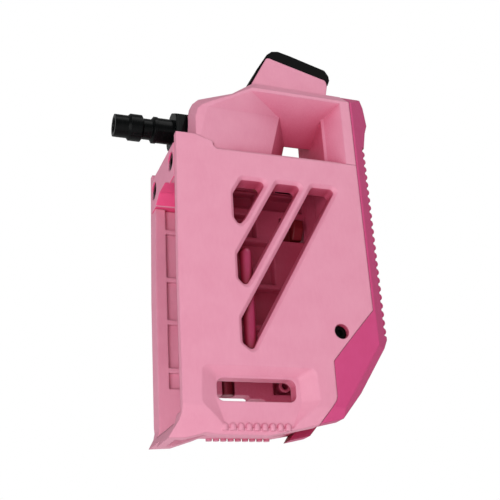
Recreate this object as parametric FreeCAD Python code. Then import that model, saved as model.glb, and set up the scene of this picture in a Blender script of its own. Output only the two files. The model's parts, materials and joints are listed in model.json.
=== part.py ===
import FreeCAD, Part
import math
import os

# Adapter that hangs a rifle-pattern ball magazine under a compressed-air pistol.
# Millimetres. X runs from the air plug (negative) to the ribbed spine (positive),
# Y = 0 is the moulding split between the two shells, Z points up to the feed tower.
# The outlines below are written with x = 0 on the front edge of the shells; emit()
# moves everything so that the origin is the centre of the magazine mouth.

V = FreeCAD.Vector

# ---- the magazine this part is made for -------------------------------------
MAG_THICK = 22.5            # magazine body, across
MAG_DEEP = 62.0             # magazine body, front to back
MAG_SIDE = 0.75             # clearance each side
MAG_ENDS = 2.0              # clearance front and back

# ---- overall sizes -----------------------------------------------------------
HALF_WELL = MAG_THICK / 2 + MAG_SIDE          # half of the well, across
WELL_LEN = MAG_DEEP + 2 * MAG_ENDS            # well, front to back
WALL = 8.0                                    # side wall, outer face to well
SKIN = 3.0                                    # outer skin where a pocket is cut
HALF_T = HALF_WELL + WALL                     # half thickness of the body
WELL_X = WELL_LEN / 2                         # mouth centre behind the front edge
DECK_Z = 110.0                                # top of the shells, foot of the housing
WING_Z = 115.5                                # raised front corner of the shells
SPINE_X = WELL_LEN + 10.5                     # joint between shells and spine
SPINE_D = 7.5                                 # depth of the spine behind the joint
FIT = 0.10                                    # gap left at every glued or screwed joint
RUN = 0.30                                    # gap left around a moving piece

# ---- slanted windows in the left shell ---------------------------------------
SLANT = math.tan(math.radians(30))
WIN_TOP = 98.3
WIN_LEFT = 23.2
WIN_W = 10.4
BAR_W = 4.3
WIN_1 = 26.8

# ---- fasteners ----------------------------------------------------------------
M4_D, M4_HEAD, M4_HEAD_H, M4_HEX = 4.0, 7.0, 4.0, 3.0
M3_D, M3_HEAD, M3_HEAD_H, M3_HEX = 3.0, 5.5, 3.0, 2.5
BRIDGE_Y, BRIDGE_SCREW_Z = HALF_WELL + 0.9, 106.0
SIDE_SCREW_X, SIDE_SCREW_Z = WELL_LEN - 3.4, 39.0

# ---- air side -------------------------------------------------------------------
AIR_Z = DECK_Z + 16.7
PORT_D = 9.6
HEX_AF = 15.4
RING_D, NOSE_D, NECK_D, BARREL_D = 10.8, 9.1, 8.4, 10.2
FRONT_X = 9.2                                 # front face of the upper housing
SEAT_X = FRONT_X + 2.7                        # bottom of the round recess the plug sits in
BLOCK_X0, BLOCK_X1 = SEAT_X + 3.1, SEAT_X + 21.9
BLOCK_HALF_Y = 10.0
BLOCK_Z0, BLOCK_Z1 = AIR_Z - 8.9, AIR_Z + 6.8

# ---- feed side --------------------------------------------------------------------
FEED_X = 47.5                                 # feed mouth in the tower
FEED_LOW_X = 42.0                             # lower end of the feed tube
FEED_BORE = 6.2
FEED_OD = FEED_BORE + 1.4
FEED_Z0, FEED_Z1 = DECK_Z - 4.0, DECK_Z + 39.6
TOWER_HALF = 12.5
CORE_HALF = 9.5
STOP_Z = DECK_Z + 47.0

# ---- magazine catch ------------------------------------------------------------------
CATCH_X, CATCH_Y, CATCH_Z = WELL_LEN - 10.5, HALF_WELL + 3.8, 93.5
CATCH_H = 10.0
CATCH_PIN_D = 2.5
CATCH_FLOOR = HALF_WELL + 1.6                 # bottom of the catch pocket


def box(x0, x1, y0, y1, z0, z1):
    """Block between two corners."""
    return Part.makeBox(x1 - x0, y1 - y0, z1 - z0, V(x0, y0, z0))


def rod_x(d, x0, x1, y, z):
    """Cylinder along X."""
    return Part.makeCylinder(d / 2, x1 - x0, V(x0, y, z), V(1, 0, 0))


def rod_y(d, y0, y1, x, z):
    """Cylinder along Y."""
    return Part.makeCylinder(d / 2, y1 - y0, V(x, y0, z), V(0, 1, 0))


def rod_z(d, z0, z1, x, y):
    """Cylinder along Z."""
    return Part.makeCylinder(d / 2, z1 - z0, V(x, y, z0), V(0, 0, 1))


def hex_x(af, x0, x1, y, z):
    """Hexagonal prism along X."""
    r = af / math.sqrt(3)
    pts = []
    for i in range(6):
        a = math.radians(60 * i + 30)
        pts.append(V(x0, y + r * math.cos(a), z + r * math.sin(a)))
    face = Part.Face(Part.makePolygon(pts + pts[:1]))
    return face.extrude(V(x1 - x0, 0, 0))


def wire_xz(pts, y, r=0.0):
    """Closed outline in the XZ plane at y, every corner rounded with radius r."""
    n = len(pts)
    if r <= 0:
        ring = [V(p[0], y, p[1]) for p in pts]
        return Part.makePolygon(ring + ring[:1])
    starts, mids, ends = [], [], []
    for i in range(n):
        p = V(pts[i][0], y, pts[i][1])
        a = V(pts[i - 1][0], y, pts[i - 1][1]) - p
        b = V(pts[(i + 1) % n][0], y, pts[(i + 1) % n][1]) - p
        half = a.getAngle(b) / 2
        cut = min(r / math.tan(half), 0.45 * a.Length, 0.45 * b.Length)
        rad = cut * math.tan(half)
        a.normalize()
        b.normalize()
        bis = a + b
        bis.normalize()
        starts.append(p + a * cut)
        ends.append(p + b * cut)
        mids.append(p + bis * (rad / math.sin(half) - rad))
    edges = []
    for i in range(n):
        edges.append(Part.Arc(starts[i], mids[i], ends[i]).toShape())
        edges.append(Part.makeLine(ends[i], starts[(i + 1) % n]))
    return Part.Wire(edges)


def slab_xz(pts, y0, y1, r=0.0):
    """Outline in XZ carried from y0 to y1."""
    return Part.Face(wire_xz(pts, y0, r)).extrude(V(0, y1 - y0, 0))


def loft_xz(pts0, y0, pts1, y1, r0=0.0, r1=0.0):
    """Ruled body between an outline at y0 and an outline at y1."""
    return Part.makeLoft([wire_xz(pts0, y0, r0), wire_xz(pts1, y1, r1)], True, True)


def grow(pts, d):
    """Outline moved outwards by d on every side (corners given anticlockwise seen from -Y)."""
    out = []
    n = len(pts)
    area = sum(pts[i - 1][0] * pts[i][1] - pts[i][0] * pts[i - 1][1] for i in range(n))
    s = 1.0 if area > 0 else -1.0
    for i in range(n):
        px, pz = pts[i]
        ax, az = px - pts[i - 1][0], pz - pts[i - 1][1]
        bx, bz = pts[(i + 1) % n][0] - px, pts[(i + 1) % n][1] - pz
        la, lb = math.hypot(ax, az), math.hypot(bx, bz)
        n1 = (s * az / la, -s * ax / la)
        n2 = (s * bz / lb, -s * bx / lb)
        k = d / (1 + n1[0] * n2[0] + n1[1] * n2[1])
        out.append((px + k * (n1[0] + n2[0]), pz + k * (n1[1] + n2[1])))
    return out


def mirror_y(shape):
    """Mirror image across the split plane."""
    return shape.mirror(V(0, 0, 0), V(0, 1, 0))


def prism_xy(pts, z0, z1, lean=0.0):
    """Outline in XY carried up from z0 to z1, leaning back by lean along X per unit of height."""
    ring = [V(p[0], p[1], z0) for p in pts]
    return Part.Face(Part.makePolygon(ring + ring[:1])).extrude(V(lean * (z1 - z0), 0, z1 - z0))


def prism_yz(pts, x0, x1):
    """Outline in YZ carried from x0 to x1."""
    ring = [V(x0, p[0], p[1]) for p in pts]
    return Part.Face(Part.makePolygon(ring + ring[:1])).extrude(V(x1 - x0, 0, 0))


def emit(name, shape):
    """Move a finished piece into the part frame, write it and print its size."""
    moved = shape.copy()
    moved.translate(V(-WELL_X, 0, 0))
    os.makedirs("parts", exist_ok=True)
    moved.exportStep("parts/" + name + ".step")
    b = moved.BoundBox
    print(name, "solids", len(moved.Solids), "valid", moved.isValid(),
          "box %.1f..%.1f %.1f..%.1f %.1f..%.1f" % (b.XMin, b.XMax, b.YMin, b.YMax, b.ZMin, b.ZMax))


# ---------------------------------------------------------------------------------------
# outlines shared by the shells, the spine and the housing
# ---------------------------------------------------------------------------------------
FOOT_X = WELL_LEN - 7.8                       # shell to foot joint, low down
# outline of one shell seen from the side, from the front lip round to the deck
SHELL = [(-3.4, 0.0), (2.9, 0.0), (9.6, 1.7), (14.0, 1.2), (33.0, 1.0), (FOOT_X - 7.0, 4.6),
         (FOOT_X - 0.6, 12.8), (FOOT_X, 14.4), (FOOT_X, 27.6), (FOOT_X + 9.6, 38.5),
         (SPINE_X, 48.1), (SPINE_X, DECK_Z), (17.6, DECK_Z), (16.2, DECK_Z + 0.9),
         (15.6, DECK_Z + 3.2), (8.6, WING_Z), (1.2, WING_Z), (0.6, 60.0), (0.8, 8.4), (0.1, 5.9),
         (-2.4, 1.7)]
# outline of spine and foot, outer line first, then back along the joint with the shells
SPINE_BACK = SPINE_X + SPINE_D
SPINE = [(FOOT_X - 6.6, 4.9), (FOOT_X + 2.3, 6.8), (SPINE_BACK - 14.7, 16.5), (SPINE_BACK, 38.3),
         (SPINE_BACK, DECK_Z + 11.6), (SPINE_BACK + 2.4, DECK_Z + 20.3),
         (SPINE_BACK + 4.8, DECK_Z + 25.4), (SPINE_BACK + 3.2, DECK_Z + 33.2),
         (SPINE_BACK + 0.6, DECK_Z + 36.2), (SPINE_X + FIT, DECK_Z + 36.4), (SPINE_X + FIT, 48.06),
         (FOOT_X + 9.67, 38.42), (FOOT_X + FIT, 27.56), (FOOT_X + FIT, 14.38), (FOOT_X - 0.51, 12.76)]

WINDOWS = []
for i in range(3):
    left = WIN_1 + i * (WIN_W + BAR_W)
    right = left + WIN_W
    tip = WIN_LEFT + 4.6 + 1.2 * i            # right-hand side stops at this x
    low = WIN_TOP - (right - tip) / SLANT
    turn = WIN_TOP - (left - WIN_LEFT - 0.3 * i) / SLANT
    WINDOWS.append([(left, WIN_TOP), (right, WIN_TOP), (tip, low), (tip - 2.6, low - 3.0 - i),
                    (WIN_LEFT + 0.3 * i, low - i), (WIN_LEFT + 0.3 * i, turn)])

# thumb slot through both side walls, just above the mouth, and the tray around it
SLOT = [(14.0, 12.6), (43.6, 12.6), (43.6, 20.8), (14.0, 20.8)]
TRAY_RIM = [(7.6, 12.0), (13.4, 2.4), (43.6, 2.4), (51.8, 12.8), (51.0, 24.6), (8.0, 24.6)]
TRAY_BED = [(13.6, 13.0), (17.0, 3.4), (41.4, 3.4), (45.4, 12.8), (45.0, 21.5), (13.8, 21.5)]

well = box(0.0, WELL_LEN, -HALF_WELL, HALF_WELL, -10.0, DECK_Z + 0.8)
front_gap = box(-20.0, 0.1, -HALF_WELL, HALF_WELL, 7.0, DECK_Z + 0.8)

RIB_Z = [22.0, 30.0, 49.0, 66.5, 87.0]        # horizontal ribs between the wall pockets
RIB_W = 1.8
PANEL = 1.8                                   # depth of the panels between the ribs, in front
RAIL_X = 28.3                                 # guide rail
DOWEL_Z = (62.0, 100.0)
TONGUE = 2.6                                  # thickness of the tongues of the foot
SIDE_HEAD_Y = HALF_WELL + TONGUE + 1.4        # underside of the side screw head


FLANK_SLOPE = 5.6 / 15.2                      # inward lean of the lower flank


def wedge(side):
    """Lower flank: takes the outer face in towards the mouth below z = 10."""
    low = HALF_T + 1.0 - 15.2 * FLANK_SLOPE
    return prism_yz([(side * (HALF_T + 1.0), 13.2), (side * (HALF_T + 1.0), -2.0), (side * low, -2.0)],
                    -20.0, 100.0)


def grip_bumps(first_x, y, z):
    """Row of nine rounded grip bumps standing on a face y from the split plane, on the left side."""
    row = []
    for i in range(9):
        x = first_x + 2.9 * i
        row.append(rod_z(2.4, z - 0.8, z + 0.7, x, -y))
        row.append(Part.makeSphere(1.2, V(x, -y, z + 0.7)))
    return row


def shell_blank():
    """The left half: side wall, half of the rear wall and half of the front lip."""
    body = slab_xz(SHELL, -HALF_T, -FIT / 2)
    body = body.cut(well).cut(front_gap).cut(wedge(-1))
    # tray and thumb slot
    tray = loft_xz(TRAY_RIM, -HALF_T - 0.01, TRAY_BED, -HALF_T + SKIN, 2.6, 1.6)
    body = body.cut(tray).cut(slab_xz(SLOT, -30.0, -5.0, 2.6))
    # shallow panels on the well side in front of the windows, between the ribs
    edges = RIB_Z + [99.0]
    for lo, hi in zip(edges[:-1], edges[1:]):
        body = body.cut(box(5.0, 20.5, -HALF_WELL - PANEL, -HALF_WELL + 1.0, lo + RIB_W, hi))
    # seat of the cross bridge behind a thin outer cheek
    seat = HALF_T - SKIN + 0.2
    body = body.cut(box(-1.0, 13.2, -seat, 0.0, 97.6, WING_Z + 1))
    # the housing drops in behind the raised front corner
    body = body.cut(box(9.0, 18.6, -seat, 0.0, DECK_Z, WING_Z + 1))
    # boss for the bridge insert, inside the top of the well
    body = body.fuse(box(13.2, 24.0, -HALF_WELL - 2.0, -HALF_WELL + 3.4, 101.0, DECK_Z))
    body = body.cut(rod_x(M4_D + 1.4, 13.0, 20.0, -BRIDGE_Y, BRIDGE_SCREW_Z))
    body = body.cut(rod_x(M4_D + 0.4, 13.0, 23.0, -BRIDGE_Y, BRIDGE_SCREW_Z))
    # seat for the tongue of the foot, and the sunk screw that holds it
    body = body.cut(box(FOOT_X - 2.2, WELL_LEN + 0.1, -HALF_WELL - TONGUE - FIT, -HALF_WELL + 1.0,
                        32.0, 46.0))
    body = body.cut(rod_y(M3_D + 0.4, -30.0, -HALF_WELL, SIDE_SCREW_X, SIDE_SCREW_Z))
    body = body.cut(rod_y(M3_HEAD + 0.3, -30.0, -SIDE_HEAD_Y, SIDE_SCREW_X, SIDE_SCREW_Z))
    # round-backed groove for the guide rail
    groove = box(RAIL_X - 2.6, RAIL_X + 2.6, -HALF_WELL - 2.4, -HALF_WELL + 1.0, 22.0, 72.0)
    groove = groove.fuse(rod_z(5.2, 22.0, 72.0, RAIL_X, -HALF_WELL - 2.4))
    body = body.cut(groove)
    # dowel holes in the rear wall
    for z in DOWEL_Z:
        body = body.cut(rod_x(3.06, WELL_LEN + 3.5, SPINE_X + 1, -8.0, z))
    return body


blank = shell_blank()
left = blank
for bump in grip_bumps(16.3, HALF_T + 0.5 - 10.0 * FLANK_SLOPE, 3.2):
    left = left.fuse(bump)
# the front edge of this wall is thinned from the well side
left = left.cut(box(-1.0, 3.2, -HALF_T + SKIN, -HALF_WELL + 1.0, 8.6, 97.5))
# slanted windows with a softened outer edge
for w in WINDOWS:
    left = left.cut(slab_xz(w, -HALF_T - 1, -HALF_WELL + 1, 1.6))
    left = left.cut(loft_xz(grow(w, 1.3), -HALF_T - 0.01, w, -HALF_T + 1.3, 2.6, 1.6))
left = left.removeSplitter()
emit("left_shell", left)

# the far side of the mouth ends a little higher and its grip bumps sit further back
rim = [(-6.0, -1.0), (FOOT_X + 2.0, -1.0), (FOOT_X + 2.0, 9.0), (FOOT_X - 6.0, 7.6), (45.0, 6.3),
       (17.0, 6.3), (6.0, 2.6), (-6.0, 2.0)]
right = blank.cut(slab_xz(rim, -30.0, 0.0))
for bump in grip_bumps(21.1, HALF_T - SKIN + 0.1, 6.3):
    right = right.fuse(bump)
right = mirror_y(right)
# wall pockets behind the windows keep the far wall light; the catch has its own pocket
right = right.cut(box(33.0, 44.0, HALF_WELL - 1, HALF_T - SKIN, 88.8, 99.0))
for lo, hi, end in zip(RIB_Z[1:-1], RIB_Z[2:], (60.0, 60.0, 51.0)):
    right = right.cut(box(33.0, end, HALF_WELL - 1, HALF_T - SKIN, lo + RIB_W, hi))
right = right.cut(box(26.0, 44.0, HALF_WELL - 1, HALF_T - SKIN, 101.8, 109.0))
right = right.cut(box(45.6, WELL_LEN - 0.6, HALF_WELL - 1, HALF_T - SKIN, 101.8, 109.0))
# the thumb slot is taller on this side
right = right.cut(slab_xz([(15.0, 14.0), (38.8, 14.0), (36.4, 22.1), (16.0, 22.1)], HALF_WELL - 1,
                          HALF_T + 1, 1.0))
# screw post standing in its own pocket above the thumb slot
post = box(46.6, 56.4, HALF_WELL - 1, HALF_T - SKIN, 22.6, 29.8)
right = right.cut(post.cut(rod_y(5.0, HALF_WELL, HALF_T, 51.7, 26.2)))
right = right.cut(rod_y(2.8, HALF_WELL - 1, HALF_T - SKIN, 51.7, 26.2))
catch_open = box(CATCH_X - 10.0, CATCH_X + 10.0, CATCH_FLOOR, HALF_T + 1,
                 CATCH_Z - CATCH_H / 2 - RUN, CATCH_Z + CATCH_H / 2 + RUN)
tooth_open = box(CATCH_X - 1.0, CATCH_X + 10.0, HALF_WELL - 1, HALF_WELL + 3,
                 CATCH_Z - CATCH_H / 2 - RUN, CATCH_Z + CATCH_H / 2 + RUN)
pin_hole = rod_z(CATCH_PIN_D, CATCH_Z - 8.1, CATCH_Z + 8.1, CATCH_X, CATCH_Y)
right = right.cut(catch_open.fuse(tooth_open)).cut(pin_hole)
emit("right_shell", right)

# ---------------------------------------------------------------------------------------
# spine and foot: one dark moulding, narrower at the back, toothed for grip
# ---------------------------------------------------------------------------------------
TEETH = 23
PITCH = 3.5
TOOTH_R = 1.5
spine = slab_xz(SPINE, -HALF_T, HALF_T)
# the rear of the well is open below the sloping foot
spine = spine.cut(box(-5.0, WELL_LEN, -HALF_WELL, HALF_WELL, -5, 60))
# recess behind the grip teeth, then the teeth themselves
spine = spine.cut(box(SPINE_BACK - TOOTH_R, SPINE_BACK + 9, -25, 25, 39.6, 39.6 + PITCH * (TEETH + 0.4)))
for i in range(TEETH):
    spine = spine.fuse(rod_y(2 * TOOTH_R, -HALF_T + 5.4, HALF_T - 5.4, SPINE_BACK - TOOTH_R + 0.1,
                             41.7 + PITCH * i))
foot_dx, foot_dz = 14.7, 38.3 - 16.5
foot_run = math.hypot(foot_dx, foot_dz)
out_x, out_z = foot_dz / foot_run, -foot_dx / foot_run
for side in (-1, 1):
    rear = [(SPINE_X + 0.4, side * (HALF_T + 0.5)), (SPINE_BACK + 9, side * (HALF_T + 0.5)),
            (SPINE_BACK + 9, side * (HALF_T - 12.7))]
    spine = spine.cut(prism_xy(rear, -5.0, 165.0))
    # the same bevel, narrower, along the sloping edge of the foot
    x0, z0 = SPINE_BACK - 14.7 - 0.8 * foot_dx, 16.5 - 0.8 * foot_dz
    ring = [V(x0 - 3.4 * out_x, side * (HALF_T + 0.1), z0 - 3.4 * out_z),
            V(x0 + 2.0 * out_x, side * (HALF_T + 0.1), z0 + 2.0 * out_z),
            V(x0 + 2.0 * out_x, side * (HALF_T - 4.8), z0 + 2.0 * out_z)]
    bevel = Part.Face(Part.makePolygon(ring + ring[:1])).extrude(V(2.6 * foot_dx, 0, 2.6 * foot_dz))
    spine = spine.cut(bevel).cut(wedge(side))
    # the top falls away with the flanks of the housing
    top = [(side * TOWER_HALF, DECK_Z + 36.8), (side * (HALF_T + 1), DECK_Z + 28.9),
           (side * (HALF_T + 1), DECK_Z + 45), (side * TOWER_HALF, DECK_Z + 45)]
    spine = spine.cut(prism_yz(top, SPINE_X - 6, SPINE_X + 34))
    t0, t1 = sorted((side * (HALF_WELL + 0.05), side * (HALF_WELL + TONGUE)))
    spine = spine.fuse(box(FOOT_X - 2.0, WELL_LEN, t0, t1, 32.2, 45.8))
    spine = spine.cut(rod_y(M3_D + 1.2, min(t0, t1) - 1, max(t0, t1) + 1, SIDE_SCREW_X, SIDE_SCREW_Z))
    for z in DOWEL_Z:
        spine = spine.cut(rod_x(3.06, SPINE_X - 1, SPINE_X + 4.1, side * 8.0, z))
spine = spine.removeSplitter()
emit("rear_spine", spine)

# ---------------------------------------------------------------------------------------
# cross bridge over the open front channel
# ---------------------------------------------------------------------------------------
BRIDGE_HALF = HALF_T - SKIN
bridge = slab_xz([(0.7, 97.8), (0.7, 111.8), (2.4, DECK_Z + 3.6), (FRONT_X - 0.4, DECK_Z + 3.6),
                  (FRONT_X - 0.3, DECK_Z + 3.1), (13.0, DECK_Z + 3.1), (13.0, 97.8)],
                 -BRIDGE_HALF, BRIDGE_HALF)
# arched underside over the magazine
bridge = bridge.cut(prism_yz([(-HALF_WELL + 1.6, 97.0), (HALF_WELL - 1.6, 97.0), (HALF_WELL - 1.8, 98.4),
                              (4.5, 101.2), (-4.5, 101.2), (-HALF_WELL + 1.8, 98.4)], 0.0, 14.0))
for side in (-1, 1):
    bridge = bridge.cut(rod_x(M4_HEAD + 0.4, 0.0, 1.2 + M4_HEAD_H, side * BRIDGE_Y, BRIDGE_SCREW_Z))
    bridge = bridge.cut(rod_x(M4_D + 0.4, 0.0, 20.0, side * BRIDGE_Y, BRIDGE_SCREW_Z))
bridge = bridge.removeSplitter()
emit("front_bridge", bridge)


def cap_screw_x(d, head, head_h, key, x0, length, y, z):
    """Socket-head screw along X, head at x0, shank running to x0 + head_h + length."""
    s = rod_x(head, x0, x0 + head_h, y, z)
    s = s.fuse(rod_x(d, x0 + head_h - 0.1, x0 + head_h + length, y, z))
    s = s.cut(hex_x(key, x0 - 0.1, x0 + head_h * 0.55, y, z))
    return s


bridge_screws = []
bridge_inserts = []
for side in (-1, 1):
    bridge_screws.append(cap_screw_x(M4_D, M4_HEAD, M4_HEAD_H, M4_HEX, 1.2, 14.0, side * BRIDGE_Y,
                                     BRIDGE_SCREW_Z))
    ins = rod_x(M4_D + 1.4, 13.3, 19.3, side * BRIDGE_Y, BRIDGE_SCREW_Z)
    bridge_inserts.append(ins.cut(rod_x(M4_D + 0.1, 13.0, 20.0, side * BRIDGE_Y, BRIDGE_SCREW_Z)))
emit("bridge_screws", Part.makeCompound(bridge_screws))
emit("bridge_inserts", Part.makeCompound(bridge_inserts))

# side screws: they pinch the shells to the tongues of the foot
side_screws = []
side_inserts = []
for side in (-1, 1):
    s = rod_y(M3_HEAD, SIDE_HEAD_Y, SIDE_HEAD_Y + 1.8, SIDE_SCREW_X, SIDE_SCREW_Z)
    s = s.fuse(rod_y(M3_D, HALF_WELL + 0.4, SIDE_HEAD_Y + 0.1, SIDE_SCREW_X, SIDE_SCREW_Z))
    key = hex_x(M3_HEX, 0.0, 1.2, 0.0, 0.0)
    key.rotate(V(0, 0, 0), V(0, 0, 1), 90)
    key.translate(V(SIDE_SCREW_X, SIDE_HEAD_Y + 0.7, SIDE_SCREW_Z))
    s = s.cut(key)
    ins = rod_y(M3_D + 1.2, HALF_WELL + 0.3, HALF_WELL + TONGUE, SIDE_SCREW_X, SIDE_SCREW_Z)
    ins = ins.cut(rod_y(M3_D + 0.1, HALF_WELL - 1, HALF_WELL + 6, SIDE_SCREW_X, SIDE_SCREW_Z))
    if side < 0:
        s = mirror_y(s)
        ins = mirror_y(ins)
    side_screws.append(s)
    side_inserts.append(ins)
emit("side_screws", Part.makeCompound(side_screws))
emit("side_inserts", Part.makeCompound(side_inserts))

# guide rails: rounded runners let into the well walls
rails = []
for side in (-1, 1):
    rail = rod_z(5.0, 22.2, 69.4, RAIL_X, side * (HALF_WELL + 2.4))
    rail = rail.fuse(Part.makeSphere(2.5, V(RAIL_X, side * (HALF_WELL + 2.4), 69.4)))
    rails.append(rail)
emit("guide_rails", Part.makeCompound(rails))

# steel dowels between rear wall and spine
dowels = []
for side in (-1, 1):
    for z in DOWEL_Z:
        dowels.append(rod_x(3.0, WELL_LEN + 3.8, SPINE_X + 3.9, side * 8.0, z))
emit("spine_dowels", Part.makeCompound(dowels))

# ---------------------------------------------------------------------------------------
# upper housing: hollowed on both sides round a tapered window, tower on top
# ---------------------------------------------------------------------------------------
HOUSE_Z0 = DECK_Z + FIT
# upper outline on the middle part and the lower one on the flanks, heights above the deck
RIDGE = [(FRONT_X, 3.2), (FRONT_X, 19.0), (10.4, 23.2), (13.0, 25.7), (19.4, 28.0), (27.6, 30.9),
         (32.1, 34.0), (36.2, 36.8), (38.2, 37.5), (SPINE_X, 36.9)]
FLANK = [(FRONT_X, 3.2), (FRONT_X, 13.0), (10.2, 17.0), (12.2, 19.0), (18.0, 22.2), (25.4, 25.6),
         (29.6, 28.0), (33.4, 30.0), (35.4, 30.2), (SPINE_X, 29.8)]
REST = [(SPINE_X, HOUSE_Z0 - DECK_Z), (16.7, HOUSE_Z0 - DECK_Z), (16.7, 3.2)]
HOLE_Z0 = DECK_Z + 1.3                        # top of the thin floor under the hollow
FLOOR_Y = HALF_T - 8.7                        # deepest part of the hollow in each flank
ROOF_RISE = 0.6                               # roof of the hollow, rise per unit towards the outside
ROOF_Z = DECK_Z + 16.6                        # height of that roof on the mid-plane


def above_deck(pts):
    """Outline with its heights measured from the deck."""
    return [(p[0], p[1] + DECK_Z) for p in pts]


ridge = above_deck(RIDGE + REST)
flank = above_deck(FLANK + REST)
house = slab_xz(ridge, -TOWER_HALF, TOWER_HALF)
for side in (-1, 1):
    house = house.fuse(loft_xz(ridge, side * TOWER_HALF, flank, side * HALF_T))
house = house.removeSplitter()
# room for the raised front corners of the shells
corner = above_deck([(5.0, -5.0), (18.2, -5.0), (18.2, 0.12), (17.7, 0.12), (16.4, 1.0),
                     (15.8, 3.3), (8.7, WING_Z - DECK_Z + FIT),
                     (5.0, WING_Z - DECK_Z + FIT)])
for side in (-1, 1):
    y0, y1 = sorted((side * (HALF_T - SKIN), side * (HALF_T + 1)))
    house = house.cut(box(5.0, 16.4, y0, y1, DECK_Z - 5, DECK_Z + 3.4))
    house = house.cut(slab_xz(corner, y0, y1))
LEAN = 0.266                                  # the ramp and the throat lean back with height
low = DECK_Z - 2.0
high = DECK_Z + 32.0
for side in (-1, 1):
    out = side * (HALF_T + 0.01)
    bed = side * FLOOR_Y
    # ramp that deepens from the front edge towards the window
    ramp = prism_xy([(9.1, out), (41.4, bed), (55.0, bed), (55.0, out)], low, high, LEAN)
    # its roof rises from the front tip
    lid = []
    for x, y in ((-50.0, -60.0), (150.0, -60.0), (150.0, 60.0), (-50.0, 60.0)):
        lid.append(V(x, y, DECK_Z + 18.0 + 0.554 * (x - 13.9) - 1.545 * (HALF_T - side * y)))
    ramp = ramp.cut(Part.Face(Part.makePolygon(lid + lid[:1])).extrude(V(0, 0, 400.0)))
    # window: both flanks narrow towards a throat on the mid-plane
    throat = prism_xy([(41.4, bed * 1.001), (49.2, -0.01 * side), (55.0, -0.01 * side),
                       (55.0, bed * 1.001)], low, high, LEAN)
    rear = prism_xy([(54.6, -0.01 * side), (66.0, -0.01 * side), (66.4, side * 12.4), (67.4, side * 13.2),
                     (72.2, out), (54.6, out)], low, high)
    roof = prism_yz([(-0.02 * side, low), (-0.02 * side, ROOF_Z), (out, ROOF_Z + ROOF_RISE * HALF_T),
                     (out, low)], 0.0, 90.0)
    for void in (ramp, throat, rear):
        house = house.cut(void.common(roof))
# the hollow keeps a thin floor, set back a little from the flanks
house = house.fuse(box(18.2, SPINE_X, -HALF_T + 1.6, HALF_T - 1.6, HOUSE_Z0, HOLE_Z0))

# tower: two cheeks either side of the black core
CHEEK = above_deck([(35.2, 34.6), (36.4, 37.1), (44.1, 51.4), (70.6, 44.1), (71.0, 41.4), (69.6, 34.6)])
STRAP = above_deck([(35.6, 37.6), (36.6, 38.8), (39.2, 44.7), (44.2, 52.8), (46.6, 54.8), (49.4, 55.3),
                    (54.4, 54.1), (70.6, 49.3), (72.2, 46.7), (72.4, 44.5), (71.4, 42.0), (69.0, 41.0)])
for side in (-1, 1):
    y0, y1 = sorted((side * (CORE_HALF + FIT), side * TOWER_HALF))
    house = house.fuse(slab_xz(CHEEK, y0, y1, 1.6))
house = house.removeSplitter()
house = house.cut(slab_xz(grow(CHEEK, FIT), -CORE_HALF - FIT, CORE_HALF + FIT))

# air block pocket, open below, and the port through the front face
house = house.cut(box(BLOCK_X0 - FIT, BLOCK_X1 + FIT, -BLOCK_HALF_Y - FIT, BLOCK_HALF_Y + FIT,
                      HOUSE_Z0 - 1, BLOCK_Z1 + FIT))
house = house.cut(rod_x(PORT_D + 0.6, 0.0, 20.0, 0.0, AIR_Z))
house = house.cut(rod_x(HEX_AF * 1.3, 0.0, SEAT_X, 0.0, AIR_Z))
house = house.cut(rod_x(HEX_AF - 1.0, 0.0, SEAT_X + 1.2, 0.0, AIR_Z))


def slant_rod(d, x0, z0, x1, z1):
    """Cylinder between two points of the mid-plane."""
    run = V(x1 - x0, 0, z1 - z0)
    return Part.makeCylinder(d / 2, run.Length, V(x0, 0, z0), run)


def feed_rod(d, z0, z1):
    """Cylinder on the leaning axis of the feed tube between two heights."""
    lean = (FEED_X - FEED_LOW_X) / (FEED_Z1 - FEED_Z0)
    return slant_rod(d, FEED_LOW_X + lean * (z0 - FEED_Z0), z0, FEED_LOW_X + lean * (z1 - FEED_Z0), z1)


TUBE_A, TUBE_B = (BLOCK_X1 - 4.0, AIR_Z + 3.0), (40.0, DECK_Z + 37.0)
TUBE_OD, TUBE_ID = 4.0, 2.5
house = house.cut(slant_rod(TUBE_OD + 2 * FIT, TUBE_A[0], TUBE_A[1], TUBE_B[0], TUBE_B[1]))
# feed tube bore
house = house.cut(feed_rod(FEED_OD + 2 * FIT, DECK_Z - 5, DECK_Z + 40))
SEAL_Z = DECK_Z + 31.0
house = house.cut(feed_rod(FEED_OD + 3.2, SEAL_Z - 1.2, SEAL_Z + 1.2))
# block screws go up into the roof of the pocket
SCREWS = []                                   # x, y and bite into the roof of each block screw
for sy in (-6.9, 6.9):
    SCREWS.append((BLOCK_X0 + 3.8, sy, 2.2))
    SCREWS.append((BLOCK_X0 + 14.8, sy, 4.6))
for sx, sy, bite in SCREWS:
    house = house.cut(rod_z(M3_D + 0.1, BLOCK_Z1 - 1, BLOCK_Z1 + bite + 0.3, sx, sy))
house = house.removeSplitter()
emit("upper_housing", house)

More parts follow.
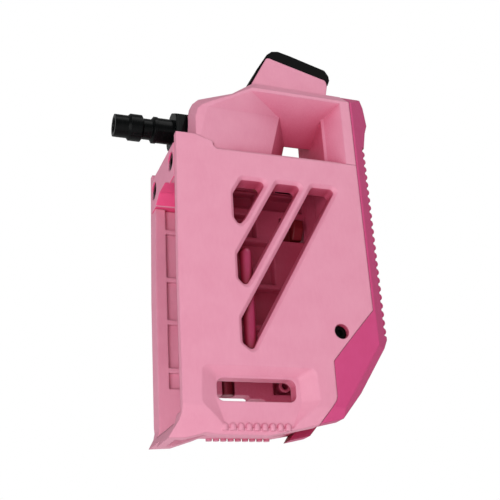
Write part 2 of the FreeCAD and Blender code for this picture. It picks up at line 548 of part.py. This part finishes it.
# aluminium block that takes the plug and turns the air up to the tower
block = box(BLOCK_X0, BLOCK_X1, -BLOCK_HALF_Y, BLOCK_HALF_Y, BLOCK_Z0, BLOCK_Z1)
block = block.cut(rod_x(PORT_D + 0.1, BLOCK_X0 - 1, BLOCK_X0 + 9.0, 0.0, AIR_Z))
block = block.cut(rod_x(4.0, BLOCK_X0, BLOCK_X1 - 4.0, 0.0, AIR_Z))
block = block.cut(slant_rod(TUBE_OD + 0.1, TUBE_A[0], TUBE_A[1], TUBE_B[0], TUBE_B[1]))
block = block.cut(slant_rod(TUBE_ID, TUBE_A[0] - 2.4, AIR_Z, TUBE_A[0], TUBE_A[1]))
block_screws = []
for sx, sy, bite in SCREWS:
    block = block.cut(rod_z(M3_D + 0.3, BLOCK_Z0 - 1, BLOCK_Z1 + 1, sx, sy))
    block = block.cut(rod_z(M3_HEAD + 0.3, BLOCK_Z0 - 1, BLOCK_Z0 + M3_HEAD_H + 0.2, sx, sy))
    s = rod_z(M3_HEAD, BLOCK_Z0 + 0.2, BLOCK_Z0 + 0.2 + M3_HEAD_H, sx, sy)
    s = s.fuse(rod_z(M3_D, BLOCK_Z0 + M3_HEAD_H, BLOCK_Z1 + bite, sx, sy))
    key = hex_x(M3_HEX, 0.0, 1.6, 0.0, 0.0)
    key.rotate(V(0, 0, 0), V(0, 1, 0), -90)
    key.translate(V(sx, sy, BLOCK_Z0 + 0.1))
    block_screws.append(s.cut(key))
emit("air_block", block)
emit("block_screws", Part.makeCompound(block_screws))

# quick-disconnect plug: hollow nose, locking ring, neck, body, hexagon and thread
plug = rod_x(NOSE_D, -18.6, -12.0, 0.0, AIR_Z)
plug = plug.fuse(Part.makeCone(NOSE_D / 2, RING_D / 2, 0.9, V(-13.2, 0, AIR_Z), V(1, 0, 0)))
plug = plug.fuse(rod_x(RING_D, -12.4, -7.8, 0.0, AIR_Z))
plug = plug.fuse(Part.makeCone(RING_D / 2, NECK_D / 2, 0.9, V(-7.9, 0, AIR_Z), V(1, 0, 0)))
plug = plug.fuse(rod_x(NECK_D, -7.5, -2.5, 0.0, AIR_Z))
plug = plug.fuse(Part.makeCone(NECK_D / 2 + 0.2, RING_D / 2, 0.8, V(-3.6, 0, AIR_Z), V(1, 0, 0)))
plug = plug.fuse(rod_x(RING_D, -2.9, -1.5, 0.0, AIR_Z))
plug = plug.fuse(rod_x(BARREL_D, -2.4, 6.0, 0.0, AIR_Z))
HEX_X = 5.0
hexagon = hex_x(HEX_AF, HEX_X, SEAT_X - FIT, 0.0, AIR_Z)
cone = Part.makeCone(HEX_AF * 0.52, HEX_AF * 0.52 + 3, 3.0, V(HEX_X - 0.1, 0, AIR_Z), V(1, 0, 0))
cone = cone.fuse(rod_x(HEX_AF * 1.3, HEX_X + 2.8, SEAT_X + 4.0, 0.0, AIR_Z))
plug = plug.fuse(hexagon.common(cone))
plug = plug.fuse(rod_x(PORT_D, SEAT_X - 0.2, BLOCK_X0 + 8.4, 0.0, AIR_Z))
plug = plug.cut(rod_x(5.2, -19.0, -6.0, 0.0, AIR_Z))
plug = plug.cut(rod_x(4.0, -7.0, BLOCK_X0 + 9.0, 0.0, AIR_Z))
plug = plug.cut(Part.makeCone(3.2, 2.5, 0.8, V(-18.7, 0, AIR_Z), V(1, 0, 0)))
plug = plug.removeSplitter()
emit("air_plug", plug)
washer = rod_x(HEX_AF - 1.4, SEAT_X, SEAT_X + 1.1, 0.0, AIR_Z)
emit("plug_washer", washer.cut(rod_x(PORT_D + 0.2, 0.0, 20.0, 0.0, AIR_Z)))

tube = slant_rod(TUBE_OD, TUBE_A[0], TUBE_A[1], TUBE_B[0], TUBE_B[1])
tube = tube.cut(slant_rod(TUBE_ID, TUBE_A[0] - 1, TUBE_A[1] - 1, TUBE_B[0] + 1, TUBE_B[1] + 1))
emit("air_tube", tube)

feed = feed_rod(FEED_OD, FEED_Z0, FEED_Z1)
feed = feed.fuse(feed_rod(FEED_OD + 4.0, DECK_Z - 2.2, DECK_Z - 1.0))
emit("feed_tube", feed.cut(feed_rod(FEED_BORE, FEED_Z0 - 4, FEED_Z1 + 4)).removeSplitter())

# black core of the tower with the feed mouth, the air port and the ball stop
core = slab_xz(CHEEK, -CORE_HALF, CORE_HALF)
core = core.cut(rod_z(FEED_BORE, FEED_Z1, 175.0, FEED_X, 0.0))
core = core.cut(feed_rod(FEED_OD + 0.2, DECK_Z + 30, FEED_Z1 + 0.2))
core = core.cut(slant_rod(TUBE_OD + 0.1, TUBE_A[0], TUBE_A[1], TUBE_B[0], TUBE_B[1]))
core = core.cut(rod_y(2.2, 0.0, 6.0, FEED_X, STOP_Z))
core = core.cut(rod_y(3.6, 5.0, CORE_HALF + 1, FEED_X, STOP_Z))
# valve mouth behind the feed mouth, square to the sloping top
slope = (CHEEK[3][1] - CHEEK[2][1]) / (CHEEK[3][0] - CHEEK[2][0])
valve_x = 61.0
valve_z = CHEEK[2][1] + slope * (valve_x - CHEEK[2][0])
up = V(-slope, 0, 1)
core = core.cut(Part.makeCylinder(3.0, 8.0, V(valve_x, 0, valve_z) - up * 5.0, up))
core = core.removeSplitter()
emit("tower_core", core)

# rubber strap over the front, top and back edge of the tower
strap = slab_xz(STRAP, -TOWER_HALF, TOWER_HALF)
strap = strap.cut(slab_xz(grow(CHEEK, FIT), -TOWER_HALF - 1, TOWER_HALF + 1))
strap = strap.cut(box(20, 55, -20, 20, DECK_Z, DECK_Z + 38.4))
strap = strap.cut(box(55, 90, -20, 20, DECK_Z, DECK_Z + 42.0))
strap = strap.cut(rod_z(FEED_BORE + 1.0, DECK_Z, 175.0, FEED_X, 0.0))
strap = strap.cut(Part.makeCylinder(3.4, 14.0, V(valve_x, 0, valve_z) - up * 4.0, up))
emit("tower_strap", strap)

lean = (FEED_X - FEED_LOW_X) / (FEED_Z1 - FEED_Z0)
seal_at = V(FEED_LOW_X + lean * (SEAL_Z - FEED_Z0), 0, SEAL_Z)
emit("feed_seal", Part.makeTorus(FEED_OD / 2 + 0.75, 0.65, seal_at, V(lean, 0, 1)))

stop = rod_y(2.0, FEED_BORE / 2 - 0.9, 6.6, FEED_X, STOP_Z)
stop = stop.fuse(rod_y(3.2, 5.3, 6.6, FEED_X, STOP_Z))
emit("ball_stop", stop.removeSplitter())


def coil_y(radius, wire, y0, y1, turns, x, z):
    """Coil spring along Y."""
    pitch = (y1 - y0 - wire) / turns
    helix = Part.makeHelix(pitch, y1 - y0 - wire, radius)
    ring = Part.Wire(Part.Circle(V(radius, 0, 0), V(0, 1, 0), wire / 2).toShape())
    solid = Part.Wire(helix).makePipeShell([ring], True, True)
    solid.rotate(V(0, 0, 0), V(1, 0, 0), -90)
    solid.translate(V(x, y0 + wire / 2, z))
    return solid


emit("stop_spring", coil_y(1.2, 0.4, 6.65, CORE_HALF, 4, FEED_X, STOP_Z))

# ---------------------------------------------------------------------------------------
# magazine catch: a rocker in the right shell, pin upright, pad outside, tooth in the well
# ---------------------------------------------------------------------------------------
z0, z1 = CATCH_Z - CATCH_H / 2, CATCH_Z + CATCH_H / 2
arm = box(CATCH_X - 9.0, CATCH_X + 9.0, CATCH_Y - 0.4, HALF_T - 1.6, z0, z1)
arm = arm.cut(box(CATCH_X + 2.6, CATCH_X + 10.0, HALF_T - 4.2, HALF_T, z0 - 1, z1 + 1))
pad = box(CATCH_X - 9.0, CATCH_X - 2.0, HALF_T - 2.4, HALF_T + 0.6, z0, z1)
tooth_pts = [V(CATCH_X + 4.6, HALF_WELL + 4.2, z0 + 1), V(CATCH_X + 8.8, HALF_WELL + 4.2, z0 + 1),
             V(CATCH_X + 8.8, HALF_WELL - 2.2, z0 + 1), V(CATCH_X + 4.6, HALF_WELL - 2.2, z0 + 1)]
tooth = Part.Face(Part.makePolygon(tooth_pts + tooth_pts[:1])).extrude(V(0, 0, CATCH_H - 2))
ramp = [V(CATCH_X, HALF_WELL - 3.0, z0 - 1), V(CATCH_X, HALF_WELL - 3.0, z0 + 6.4),
        V(CATCH_X, HALF_WELL + 2.0, z0 - 1)]
tooth = tooth.cut(Part.Face(Part.makePolygon(ramp + ramp[:1])).extrude(V(12, 0, 0)))
catch = arm.fuse(pad).fuse(tooth)
catch = catch.cut(rod_z(CATCH_PIN_D + 0.1, z0 - 1, z1 + 1, CATCH_X, CATCH_Y))
catch = catch.cut(rod_y(4.4, HALF_WELL, HALF_T - 3.4, CATCH_X - 6.4, CATCH_Z))
catch = catch.removeSplitter()
emit("mag_catch", catch)
emit("catch_pin", rod_z(CATCH_PIN_D, CATCH_Z - 8.0, CATCH_Z + 8.0, CATCH_X, CATCH_Y))
emit("catch_spring", coil_y(1.7, 0.4, CATCH_FLOOR + 0.05, HALF_T - 3.45, 3, CATCH_X - 6.4, CATCH_Z))

# rubber pad under the roof of the well that the magazine is pushed against
pad = box(52.0, 61.0, -8.0, 8.0, DECK_Z - 1.6, DECK_Z + 0.05)
emit("stop_pad", pad)
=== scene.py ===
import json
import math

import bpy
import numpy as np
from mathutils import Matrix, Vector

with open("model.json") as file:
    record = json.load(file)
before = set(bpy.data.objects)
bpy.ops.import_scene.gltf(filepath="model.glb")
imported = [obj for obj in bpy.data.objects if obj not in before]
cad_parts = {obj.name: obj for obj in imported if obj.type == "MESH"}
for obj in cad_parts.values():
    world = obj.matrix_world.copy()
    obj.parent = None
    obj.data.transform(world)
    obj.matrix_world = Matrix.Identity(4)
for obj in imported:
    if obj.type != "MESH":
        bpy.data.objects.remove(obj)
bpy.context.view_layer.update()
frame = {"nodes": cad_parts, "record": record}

# %% [markdown]
# # A pink magazine adapter
# The real thing is two moulded nylon shells round a well, an upper housing with
# a feed tower, a darker spine with grip teeth, and a black air plug at the front.
# The frame that was just loaded holds every hard piece at its true size, in
# metres.

MM = 0.001
scene = bpy.context.scene

# %% [markdown]
# ## Camera
# The adapter is seen from below, from the plug side and from fairly close, so
# its vertical edges lean together towards the top. A short telephoto at about a
# third of a metre gives that. The camera is turned a few degrees about its own
# line of sight, which is how a camera held in the hand usually ends up.

# %% Camera
EYE = Vector((-0.1137, -0.3052, -0.0583))     # where the camera stands
AIM = Vector((0.3296, 0.8625, 0.3841))        # the way it looks
LENS_MM = 64.4
SENSOR_MM = 36.0
ROLL = math.radians(-3.58)

camera = bpy.data.objects.new("camera", bpy.data.cameras.new("camera"))
scene.collection.objects.link(camera)
camera.data.lens = LENS_MM
camera.data.sensor_width = SENSOR_MM
camera.data.clip_start = 10 * MM
camera.location = EYE
turn = AIM.to_track_quat("-Z", "Y").to_matrix()
camera.rotation_euler = (turn @ Matrix.Rotation(ROLL, 3, "Z")).to_euler()
scene.camera = camera
print("camera is", round(EYE.length, 3), "m from the mouth of the well")

# %% [markdown]
# ## Helpers for nodes, colours and lamps
# Materials and the sky are small graphs of nodes, so one function adds a node,
# sets it and links it. Colours are written as the hex values a screen shows; a
# shader wants them linear, so one function turns them. A square area lamp is a
# studio soft box: the larger it is, the softer the edge of its shadow.

# %% Helpers


def add_node(tree, kind, settings=None, inputs=None):
    """Add one node, set its properties and fill or link its inputs."""
    node = tree.nodes.new(kind)
    for name, value in (settings or {}).items():
        setattr(node, name, value)
    for key, value in (inputs or {}).items():
        socket = node.inputs[key]
        if isinstance(value, bpy.types.NodeSocket):
            tree.links.new(value, socket)
        else:
            socket.default_value = value
    return node


def linear(hex_colour, alpha=1.0):
    """An sRGB hex colour such as E29BB5 as the linear numbers a shader wants."""
    parts = np.array([int(hex_colour[i:i + 2], 16) / 255 for i in (0, 2, 4)])
    low = parts / 12.92
    high = ((parts + 0.055) / 1.055) ** 2.4
    return (*np.where(parts <= 0.04045, low, high).tolist(), alpha)


def soft_lamp(name, place, aim, size, power):
    """A square area lamp, its size in metres and its power in watts, turned towards a point."""
    data = bpy.data.lights.new(name, "AREA")
    data.shape = "SQUARE"
    data.size = size
    data.energy = power
    lamp = bpy.data.objects.new(name, data)
    scene.collection.objects.link(lamp)
    lamp.location = place
    lamp.rotation_euler = (Vector(aim) - Vector(place)).to_track_quat("-Z", "Y").to_euler()


print("helpers ready, mid grey is", [round(c, 3) for c in linear("808080")])

# %% [markdown]
# ## Sky and lamps
# The camera sees a white sky, but as a lamp the sky is kept weak, so that the
# inside of the well falls into shade. Three soft boxes do the lighting: the main
# one stands low beside the viewer on the plug side, so that it also reaches the
# open front channel; a small one lights the front edges; one hangs above.

# %% Sky and lamps
SKY_SEEN = 1.0                                # brightness of the sky to the camera
SKY_LIGHT = 0.3                               # brightness of the sky as a lamp
MIDDLE = (0.0, 0.0, 0.08)                     # middle of the object

world = bpy.data.worlds.new("pale sky")
scene.world = world
world.use_nodes = True
sky = world.node_tree
rays = add_node(sky, "ShaderNodeLightPath")
strength = add_node(sky, "ShaderNodeMapRange", {},
                    {"Value": rays.outputs["Is Camera Ray"], "To Min": SKY_LIGHT, "To Max": SKY_SEEN})
sky.nodes["Background"].inputs["Color"].default_value = linear("FFFFFF")
sky.links.new(strength.outputs["Result"], sky.nodes["Background"].inputs["Strength"])

soft_lamp("main box", (-0.4, -0.62, -0.14), MIDDLE, 0.42, 2.95)
soft_lamp("plug side box", (-0.75, -0.1, 0.1), MIDDLE, 0.4, 0.8)
soft_lamp("top box", (0.3, -0.4, 0.7), MIDDLE, 0.6, 2.1)
scene.view_settings.view_transform = "Standard"
print("three soft lamps, sky at", SKY_LIGHT)

# %% [markdown]
# ## Floor
# A pale floor lies well below the object. It glows a little, like a light table,
# so the lower edges and the underside of the bridge get some light from below.

# %% Floor
FLOOR_Z = -0.34
FLOOR_HALF = 3.0                              # half the side of the floor
FLOOR_GLOW = 0.33

floor_mesh = bpy.data.meshes.new("floor")
corners = [(-FLOOR_HALF, -FLOOR_HALF, FLOOR_Z), (FLOOR_HALF, -FLOOR_HALF, FLOOR_Z),
           (FLOOR_HALF, FLOOR_HALF, FLOOR_Z), (-FLOOR_HALF, FLOOR_HALF, FLOOR_Z)]
floor_mesh.from_pydata(corners, [], [(0, 1, 2, 3)])
floor = bpy.data.objects.new("floor", floor_mesh)
scene.collection.objects.link(floor)
floor_paint = bpy.data.materials.new("pale floor")
floor_paint.use_nodes = True
paint = floor_paint.node_tree.nodes["Principled BSDF"].inputs
paint["Base Color"].default_value = linear("F4F4F4")
paint["Roughness"].default_value = 0.9
paint["Emission Color"].default_value = linear("FFFFFF")
paint["Emission Strength"].default_value = FLOOR_GLOW
floor_mesh.materials.append(floor_paint)
print("floor", round(-FLOOR_Z / MM), "mm below the mouth of the well")

# %% [markdown]
# ## Shared building blocks for finishes
# Every finish starts from the same few steps: a noise on object coordinates at a
# stated size in millimetres, and a pair of colours mixed by it. Moulded and
# turned edges are never razor sharp, so each finish also rounds its shading over
# the outermost fraction of a millimetre, which gives the thin bright line along
# an edge that the eye expects.

# %% Building blocks
BUMP_STRENGTH = 0.6


def new_finish(name):
    """An empty node material with its shader and output wired up."""
    material = bpy.data.materials.new(name)
    material.use_nodes = True
    tree = material.node_tree
    tree.nodes.clear()
    shader = add_node(tree, "ShaderNodeBsdfPrincipled")
    add_node(tree, "ShaderNodeOutputMaterial", {}, {"Surface": shader.outputs["BSDF"]})
    return material, tree, shader


def noise_mm(tree, size_mm, stretch=(1, 1, 1), detail=2.0):
    """Noise between 0 and 1 with blotches about size_mm across, stretched along the axes."""
    place = add_node(tree, "ShaderNodeTexCoord").outputs["Object"]
    shape = add_node(tree, "ShaderNodeMapping", {}, {"Vector": place, "Scale": stretch})
    noise = add_node(tree, "ShaderNodeTexNoise", {},
                     {"Vector": shape.outputs["Vector"], "Scale": 1.0 / (size_mm * MM),
                      "Detail": detail})
    return noise.outputs["Fac"]


def spread(tree, value, low, high, to_low=0.0, to_high=1.0):
    """Map the range low to high of a value onto to_low to to_high, held at the ends."""
    mapped = add_node(tree, "ShaderNodeMapRange", {},
                      {"Value": value, "From Min": low, "From Max": high,
                       "To Min": to_low, "To Max": to_high})
    return mapped.outputs["Result"]


def blend(tree, amount, first, second):
    """Mix two colours; each is a hex colour or a colour socket."""
    mix = add_node(tree, "ShaderNodeMix", {"data_type": "RGBA"})
    for key, value in (("Factor", amount), ("A", first), ("B", second)):
        socket = [s for s in mix.inputs if s.name == key and s.enabled][0]
        if isinstance(value, bpy.types.NodeSocket):
            tree.links.new(value, socket)
        else:
            socket.default_value = linear(value)
    return [s for s in mix.outputs if s.enabled][0]


def relief(tree, height, depth_mm, soft_edge_mm):
    """Normal of a surface with the given height pattern and softened edges."""
    edge = add_node(tree, "ShaderNodeBevel", {"samples": 6}, {"Radius": soft_edge_mm * MM})
    bump = add_node(tree, "ShaderNodeBump", {},
                    {"Height": height, "Distance": depth_mm * MM, "Strength": BUMP_STRENGTH,
                     "Normal": edge.outputs["Normal"]})
    return bump.outputs["Normal"]


print("edges are softened and relief is at", BUMP_STRENGTH)

# %% [markdown]
# ## Moulded nylon
# Glass-filled nylon comes out of the mould with a fine matt skin: the eye sees a
# soft sheen and a faint mottling where the fibres lie near the surface. Inside
# the well, light has bounced off pink walls several times before it leaves, and
# each bounce multiplies it by the colour of the wall. That shade is painted into
# the colour here: raising the colour to a power gives painted shade, so hollows
# look deeper and redder than the outside. The power grows with how hidden a point
# is and with its depth behind the open front of the well, where light still comes
# straight in.

# %% Moulded nylon
CLOUD_MM, FIBRE_MM, SHINE_MM = 9.0, 0.7, 2.5  # sizes of the mottling, fibres and sheen
GRAIN_MM, GRAIN_DEEP_MM = 0.22, 0.05          # matt grain, drawn coarse enough to show
NYLON_EDGE_MM = 0.9                           # rounding of a moulded edge
NYLON_IOR = 1.53
REACH_MM = 60.0                               # how far a point looks for walls around it
MOUTH_X = -34.0 * MM                          # front edge of the well
SHADE_FROM = MOUTH_X + 18.0 * MM              # straight light reaches in this far
SHADE_FULL = MOUTH_X + 32.0 * MM
FRONT_SHADE = 0.1                             # share of the deepening left at the open front


def moulded_nylon(name, base, pale, roughness, deepest_painted_shade=2.65, open_share=0.82, underside=None):
    """Moulded nylon: faint mottling from base to pale, painted shade deepening the colour in hollows,
    matt grain.
    """
    material, tree, shader = new_finish(name)
    cloud = spread(tree, noise_mm(tree, CLOUD_MM, detail=3.0), 0.3, 0.7, 0.0, 0.35)
    skin = blend(tree, cloud, base, pale)
    fibre = spread(tree, noise_mm(tree, FIBRE_MM, (1, 1, 0.25)), 0.35, 0.75, 0.0, 0.22)
    skin = blend(tree, fibre, skin, pale)
    # painted bounce light: faces turned down are tinted towards the underside colour, standing in for
    # light coming back from the well
    if underside:
        facing = add_node(tree, "ShaderNodeNewGeometry").outputs["Normal"]
        up = add_node(tree, "ShaderNodeSeparateXYZ", {}, {"Vector": facing}).outputs["Z"]
        skin = blend(tree, spread(tree, up, -0.6, -0.15, 1.0, 0.0), skin, underside)
    # painted shade: the colour is raised to a higher power where walls hide a point and deeper behind
    # the open front, standing in for light bounced in the well
    shade = add_node(tree, "ShaderNodeAmbientOcclusion", {"samples": 8},
                     {"Distance": REACH_MM * MM})
    hidden = spread(tree, shade.outputs["AO"], 0.05, open_share, 1.0, 0.0)
    place = add_node(tree, "ShaderNodeTexCoord").outputs["Object"]
    back = add_node(tree, "ShaderNodeSeparateXYZ", {}, {"Vector": place}).outputs["X"]
    inward = spread(tree, back, SHADE_FROM, SHADE_FULL, FRONT_SHADE, deepest_painted_shade - 1.0)
    painted_shade_power = add_node(tree, "ShaderNodeMath", {"operation": "MULTIPLY_ADD"},
                       {0: hidden, 1: inward, 2: 1.0}).outputs["Value"]
    painted_shade_colour = add_node(tree, "ShaderNodeGamma", {}, {"Color": skin, "Gamma": painted_shade_power})
    tree.links.new(painted_shade_colour.outputs["Color"], shader.inputs["Base Color"])
    grain = relief(tree, noise_mm(tree, GRAIN_MM), GRAIN_DEEP_MM, NYLON_EDGE_MM)
    tree.links.new(grain, shader.inputs["Normal"])
    shine = spread(tree, noise_mm(tree, SHINE_MM), 0.3, 0.7, roughness - 0.05, roughness + 0.05)
    tree.links.new(shine, shader.inputs["Roughness"])
    shader.inputs["IOR"].default_value = NYLON_IOR
    return material


# pale pink: the two shells and the housing, soft and chalky
pink_nylon = moulded_nylon("glass-filled nylon moulded pink", "DC8CA5", "E59CB3", 0.55)
# the bridge gets painted bounce light below, where light comes back from the pink walls of the well
bridge_nylon_painted_glow = moulded_nylon("glass-filled nylon moulded pink for the bridge",
                             "DF8CA7", "E699B2", 0.5, underside="F0558C")
# the runners sit in shade inside the well: a darker, almost crimson copy of the rose with that shade
# painted in
runner_nylon_painted_shade = moulded_nylon("glass-filled nylon moulded rose for the runners",
                             "9A1C4C", "B03264", 0.45)
# deeper rose: spine and catch read as a second colour of the same plastic
rose_nylon = moulded_nylon("glass-filled nylon moulded rose", "C43A73", "CC4680", 0.5,
                           deepest_painted_shade=3.4, open_share=0.8)
# black: the core of the tower swallows light and leaves only a soft sheen
black_nylon = moulded_nylon("glass-filled nylon moulded black", "0A0B0C", "101214", 0.42)
print("five nylon finishes")

# %% [markdown]
# ## Metal
# The plug is turned on a lathe and blackened, so fine rings run round its axis
# and worn places show a little grey. The screws have the same black oxide. Brass,
# ground steel and anodised aluminium only show in the openings, but each keeps
# the marks of how it was made. A noise squeezed along one axis draws the marks.

# %% Metal
SMEAR_MM = 3.0                                # size of the handled, paler patches
MARK_DEEP_MM = 0.02                           # depth of a tool mark
METAL_EDGE_MM = 0.25                          # rounding of a turned edge
ALONG_X = (1, 0.02, 0.02)                     # rings round an axis along X
ALONG_Z = (0.05, 0.05, 1)                     # rings round an axis along Z


def machined_metal(name, base, pale, roughness, metallic, ring_mm=0.5, stretch=ALONG_X, gloss=0.5):
    """Metal with fine tool marks: squeezed noise in its colour, shine and relief."""
    material, tree, shader = new_finish(name)
    marks = noise_mm(tree, ring_mm, stretch)
    tint = spread(tree, marks, 0.35, 0.7, 0.0, 0.6)
    smear = spread(tree, noise_mm(tree, SMEAR_MM), 0.4, 0.75, 0.0, 0.35)
    colour = blend(tree, smear, blend(tree, tint, base, pale), pale)
    tree.links.new(colour, shader.inputs["Base Color"])
    shine = spread(tree, marks, 0.3, 0.7, roughness - 0.07, roughness + 0.07)
    tree.links.new(shine, shader.inputs["Roughness"])
    shader.inputs["Metallic"].default_value = metallic
    shader.inputs["Specular IOR Level"].default_value = gloss
    tree.links.new(relief(tree, marks, MARK_DEEP_MM, METAL_EDGE_MM), shader.inputs["Normal"])
    return material


# black oxide: a dull skin that hides the metal, dark satin with a faint grey glint
black_steel = machined_metal("steel turned and black oxide", "040505", "0A0C0D", 0.2, 0.0,
                             gloss=0.1)
# ground steel: cool and bright, only on pins and springs
bright_steel = machined_metal("steel ground", "A9ABAE", "C9CBCE", 0.28, 1.0)
# brass: warm yellow with lathe rings
brass = machined_metal("brass turned", "B08A3C", "D0AC5C", 0.3, 1.0, 0.4, ALONG_Z)
# aluminium block: milled, then clear anodised, so it is dull and pale
aluminium = machined_metal("aluminium milled and clear anodised", "9B9EA3", "B9BCC0", 0.4, 1.0)
print("four metal finishes")

# %% [markdown]
# ## Rubber and clear tube
# The strap, seals and pad are nitrile rubber: nearly black, dusty, with hardly
# any shine. The air tube is drawn polyurethane, milky and smooth, with faint
# streaks along its length.

# %% Rubber and clear tube
DUST_MM = 1.6                                 # size of the dusty mottling
RUBBER_GRAIN_MM, RUBBER_DEEP_MM = 0.3, 0.04
RUBBER_EDGE_MM = 0.6
STREAK_MM = 0.8


def moulded_rubber(name, base, pale):
    """Rubber: near black, dusty mottling, hardly any gloss."""
    material, tree, shader = new_finish(name)
    dust = spread(tree, noise_mm(tree, DUST_MM, detail=4.0), 0.4, 0.75, 0.0, 0.7)
    tree.links.new(blend(tree, dust, base, pale), shader.inputs["Base Color"])
    tree.links.new(spread(tree, dust, 0.0, 1.0, 0.5, 0.65), shader.inputs["Roughness"])
    shader.inputs["Specular IOR Level"].default_value = 0.06
    grain = relief(tree, noise_mm(tree, RUBBER_GRAIN_MM), RUBBER_DEEP_MM, RUBBER_EDGE_MM)
    tree.links.new(grain, shader.inputs["Normal"])
    return material


def drawn_tube(name, base, pale):
    """Clear tube: milky and smooth, with faint lengthwise streaks."""
    material, tree, shader = new_finish(name)
    streak = spread(tree, noise_mm(tree, STREAK_MM, (0.1, 1, 0.1)), 0.35, 0.7)
    tree.links.new(blend(tree, streak, base, pale), shader.inputs["Base Color"])
    shader.inputs["Roughness"].default_value = 0.18
    shader.inputs["Transmission Weight"].default_value = 0.5
    return material


# nitrile rubber: a soft black that frames the top of the tower
rubber = moulded_rubber("nitrile rubber moulded", "030303", "0A0A0B")
# polyurethane tube: a pale, half clear thread inside the housing
tube = drawn_tube("polyurethane tube extruded", "C9D3D6", "E2E9EB")
print("rubber and tube finishes")

# %% [markdown]
# ## Each piece gets its finish
# The record names a material slot for every CAD node, so a table from slot to
# finish covers them all. Two pieces of the same plastics are lit by the pink
# walls round them, and have a finish of their own with that light and shade
# painted in: painted bounce light under the bridge, painted shade on the runners.

# %% Each piece gets its finish
FINISH = {"pale_pink_nylon": pink_nylon, "rose_nylon": rose_nylon, "black_nylon": black_nylon,
          "black_steel": black_steel, "black_rubber": rubber, "bright_steel": bright_steel,
          "brass_insert": brass, "anodised_aluminium": aluminium, "clear_tube": tube}
SPECIAL = {"front_bridge": bridge_nylon_painted_glow, "guide_rails": runner_nylon_painted_shade}

slots = {part["node"]: part["material_slot"] for part in frame["record"]["subparts"]}
for node, thing in frame["nodes"].items():
    thing.data.materials.clear()
    thing.data.materials.append(SPECIAL.get(node, FINISH[slots[node]]))
print(len(frame["nodes"]), "CAD nodes finished with", len(FINISH) + len(SPECIAL), "materials")
